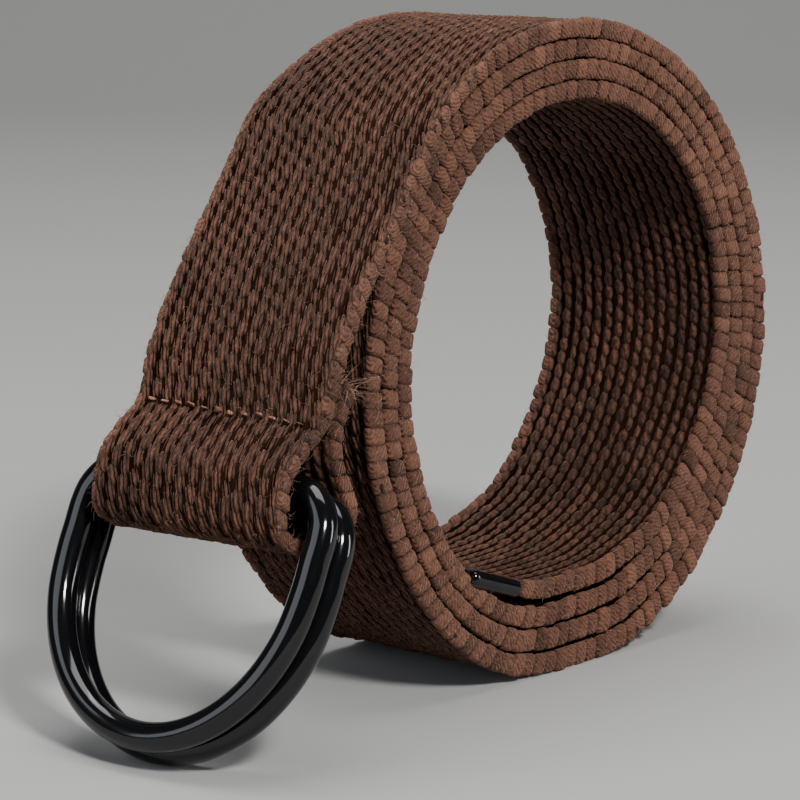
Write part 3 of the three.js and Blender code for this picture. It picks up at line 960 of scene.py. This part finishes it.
def frayed_end(count):
    """Loose threads of the cut end, most of them at its near corner."""
    chance = np.random.default_rng(42)
    across = half_strap * (1 - 2 * chance.beta(1.0, 2.2, count))
    root = np.stack([-across, chance.uniform(0, 1.2, count), chance.uniform(-1, 1, count)], axis=1)
    aim = np.stack([chance.normal(-0.5, 0.6, count), chance.uniform(-1.2, -0.3, count),
                    chance.normal(0, 0.35, count)], axis=1)
    return lay_fibres("frayed_end", root, aim, chance.uniform(0.8, 3.6, count), radius=0.08, curl=1.9,
                      tone=1.5)


fluff = face_fuzz(2600)
fray = frayed_end(190)


# %% [markdown]
# ## The D-rings
#
# Each ring is round wire bent to a D and welded in its bar. A curve with a round bevel could give it, but
# here it is made as the wire is drawn: a circle of the wire's radius is extruded a short step at a time along
# the D, turned to face the way it goes, and its last edge is bridged to its first.

# %% Bent wire
wire_sides, wire_steps = 28, 360


def ring_line():
    """The D's middle line in its own plane: the bar along X, the bow towards Y, in millimetres."""
    straight, side_end = ring_half_width - ring_corner_radius, ring_length - ring_bow_height
    half = [(0, 0), (straight / 2, 0), (straight, 0)]
    for turn in (22.5, 45, 67.5, 90):
        a = math.radians(turn)
        half.append((straight + ring_corner_radius * math.sin(a), ring_corner_radius * (1 - math.cos(a))))
    half.append((ring_half_width, (ring_corner_radius + side_end) / 2))
    for turn in range(0, 91, 15):
        a = math.radians(turn)
        half.append((ring_half_width * math.cos(a), side_end + ring_bow_height * math.sin(a)))
    knots = half + [(-x, y) for x, y in half[1:-1]][::-1]
    return through_knots(knots, np.linspace(0, len(knots), wire_steps, endpoint=False), closed=True)


def draw_wire(line):
    """A closed wire along a flat line, made by extruding its round section."""
    ahead = np.roll(line, -1, axis=0) - np.roll(line, 1, axis=0)
    stand = Matrix.Rotation(math.radians(90), 4, "Y")
    sections = [Matrix.Translation((x, y, 0)) @ Matrix.Rotation(math.atan2(dy, dx), 4, "Z") @ stand
                for (x, y), (dx, dy) in zip(line, ahead)]
    bm = bmesh.new()
    bmesh.ops.create_circle(bm, segments=wire_sides, radius=wire_radius, matrix=sections[0])
    first = rim = bm.edges[:]
    for before, after in zip(sections, sections[1:]):
        pulled = bmesh.ops.extrude_edge_only(bm, edges=rim)["geom"]
        corners = pick_verts(pulled)
        fresh = set(corners)
        rim = [e for e in pick_edges(pulled) if all(v in fresh for v in e.verts)]
        bmesh.ops.transform(bm, matrix=after @ before.inverted(), verts=corners)
    bmesh.ops.bridge_loops(bm, edges=first + rim)
    bmesh.ops.recalc_face_normals(bm, faces=bm.faces)
    return mesh_from(bm, "wire")


def bend_ring(name, node, body, bar):
    """One ring, hung from its bar's place."""
    mesh = draw_wire(ring_line())
    frame_of_ring = Matrix((bar_along, ring_fall, ring_face)).transposed().to_4x4()
    mesh.transform(Matrix.Scale(MM, 4) @ Matrix.Translation(bar) @ frame_of_ring)
    piece = finish_piece(name, mesh, body, ring_enamel)
    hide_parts(node)


bend_ring("front_ring_wire", "front_d_ring", "front_ring", front_bar)
bend_ring("back_ring_wire", "back_d_ring", "back_ring", back_bar)

# %% [markdown]
# ## The metal tip
#
# The tip is thin sheet, pressed round the end of the webbing. It is a box pulled from a cube: its
# nose and long edges are bevelled round, its open end is inset and pushed in, and the cloth goes into it.

# %% Pressed tip
tip_length, tip_wall, nose_round, nose_solid, rim_round = 12.0, 0.5, 0.88, 2.5, 0.3
sharp_angle = 0.6


def press_tip():
    """The tip along Y from its mouth, in millimetres."""
    half_height = tip_cloth / 2 + running_clearance + tip_wall
    width = strap_width + 2 * running_clearance + 2 * tip_wall
    bm = bmesh.new()
    shape = Matrix.Diagonal((width, tip_length, 2 * half_height, 1))
    bmesh.ops.create_cube(bm, size=1, matrix=Matrix.Translation((0, tip_length / 2, 0)) @ shape)
    bent = [e for e in bm.edges if any(v.co.y > tip_length - 0.01 for v in e.verts)]
    round_edges(bm, bent, half_height * nose_round, 6)
    mouth = [f for f in bm.faces if all(v.co.y < 0.01 for v in f.verts)]
    bmesh.ops.inset_region(bm, faces=mouth, thickness=tip_wall, depth=0)
    bmesh.ops.translate(bm, vec=(0, tip_length - nose_solid, 0), verts=mouth[0].verts[:])
    sharp = [e for e in bm.edges if len(e.link_faces) == 2 and e.calc_face_angle(0) > sharp_angle]
    round_edges(bm, sharp, tip_wall * rim_round, 3)
    bmesh.ops.recalc_face_normals(bm, faces=bm.faces)
    return mesh_from(bm, "end_tip_shell")


tip_mesh = press_tip()
mouth_place = solid_point(coil_end_angle) + end_way * (cloth_taper + running_clearance)
tip_turn = Matrix(((0, end_way[0], -end_way[1]), (1, 0, 0), (0, end_way[1], end_way[0]))).to_4x4()
tip_mesh.transform(Matrix.Scale(MM, 4) @ Matrix.Translation((mouth_place[0], 0, mouth_place[1])) @ tip_turn)
tip = finish_piece("end_tip_shell", tip_mesh, "strap", tip_enamel)
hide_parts("end_tip")

# %% [markdown]
# ## Floor and light
#
# The floor is a pale sheet that curves up behind the belt, as a photographer's paper does, which keeps the
# background plain. A key light above the camera shows the weave's relief. A broad, cool light on the left
# and a narrow one on the right give the streaks along the wire, a light above picks out the coil's top, and
# one more lights the paper behind.

# %% Paper floor that curves up
paper = new_material("paper", {"Base Color": (0.31, 0.306, 0.295, 1), "Roughness": 0.8})[0]
paper_half_width, paper_near, paper_bend, paper_rise = 7, -3, 1.2, 3
paper_turn = math.radians(-48.25)


def roll_paper():
    """A strip along X, pulled back, round a quarter turn and up, then turned to face the camera."""
    bm = bmesh.new()
    left, right = (bm.verts.new((x, paper_near, 0)) for x in (-paper_half_width, paper_half_width))
    edge = bm.edges.new((left, right))
    pulled = bmesh.ops.extrude_edge_only(bm, edges=[edge])["geom"]
    bmesh.ops.translate(bm, vec=(0, paper_bend - paper_near, 0), verts=pick_verts(pulled))
    rim = [e for e in pick_edges(pulled) if all(v.co.y > 1 for v in e.verts)]
    turned = bmesh.ops.spin(bm, geom=rim, cent=(0, paper_bend, paper_bend), axis=(1, 0, 0), angle=math.pi / 2,
                            steps=24)
    risen = bmesh.ops.extrude_edge_only(bm, edges=pick_edges(turned["geom_last"]))["geom"]
    bmesh.ops.translate(bm, vec=(0, 0, paper_rise), verts=pick_verts(risen))
    bmesh.ops.recalc_face_normals(bm, faces=bm.faces)
    bm.transform(Matrix.Rotation(paper_turn, 4, "Z"))
    return mesh_from(bm, "paper_floor")


floor_mesh = roll_paper()
floor_mesh.materials.append(paper)
floor_mesh.shade_smooth()
floor = bpy.data.objects.new("paper_floor", floor_mesh)
bpy.context.collection.objects.link(floor)
print("the paper reaches", round(max(v.co.z for v in floor_mesh.vertices), 2), "m up")


# %% Lights
middle_of_belt = (-0.02, 0, 0.05)


def soft_light(name, place, size, power, target=middle_of_belt, colour=(1, 1, 1)):
    """A soft box of a size in metres and a power in watts, aimed at a target."""
    light = bpy.data.lights.new(name, "AREA")
    light.shape, light.size, light.size_y, light.energy = "RECTANGLE", size[0], size[1], power
    light.color = colour
    lamp = bpy.data.objects.new(name, light)
    bpy.context.collection.objects.link(lamp)
    lamp.location = place
    lamp.rotation_euler = (Vector(target) - Vector(place)).to_track_quat("-Z", "Y").to_euler()
    print(name, "shines with", power, "W")


soft_light("key_light", (-0.42, -0.92, 0.85), (0.2, 0.2), 23)
soft_light("left_light", (-1.0, 0.2, 0.5), (0.9, 0.8), 6, colour=(0.86, 0.93, 1.0))
soft_light("top_light", (0.1, 0.35, 1.1), (0.8, 0.35), 4.5)
soft_light("right_light", (0.62, -0.95, 0.3), (0.16, 0.5), 3.5)
soft_light("paper_light", (0.2, 0.1, 2.6), (1.6, 1.6), 46, target=(1.0, 1.1, 0.4))

# %% The studio's own faint light
world = bpy.data.worlds.new("studio")
bpy.context.scene.world = world
world.use_nodes = True
world.node_tree.nodes["Background"].inputs["Color"].default_value = (0.9, 0.92, 1, 1)
world.node_tree.nodes["Background"].inputs["Strength"].default_value = 0.08
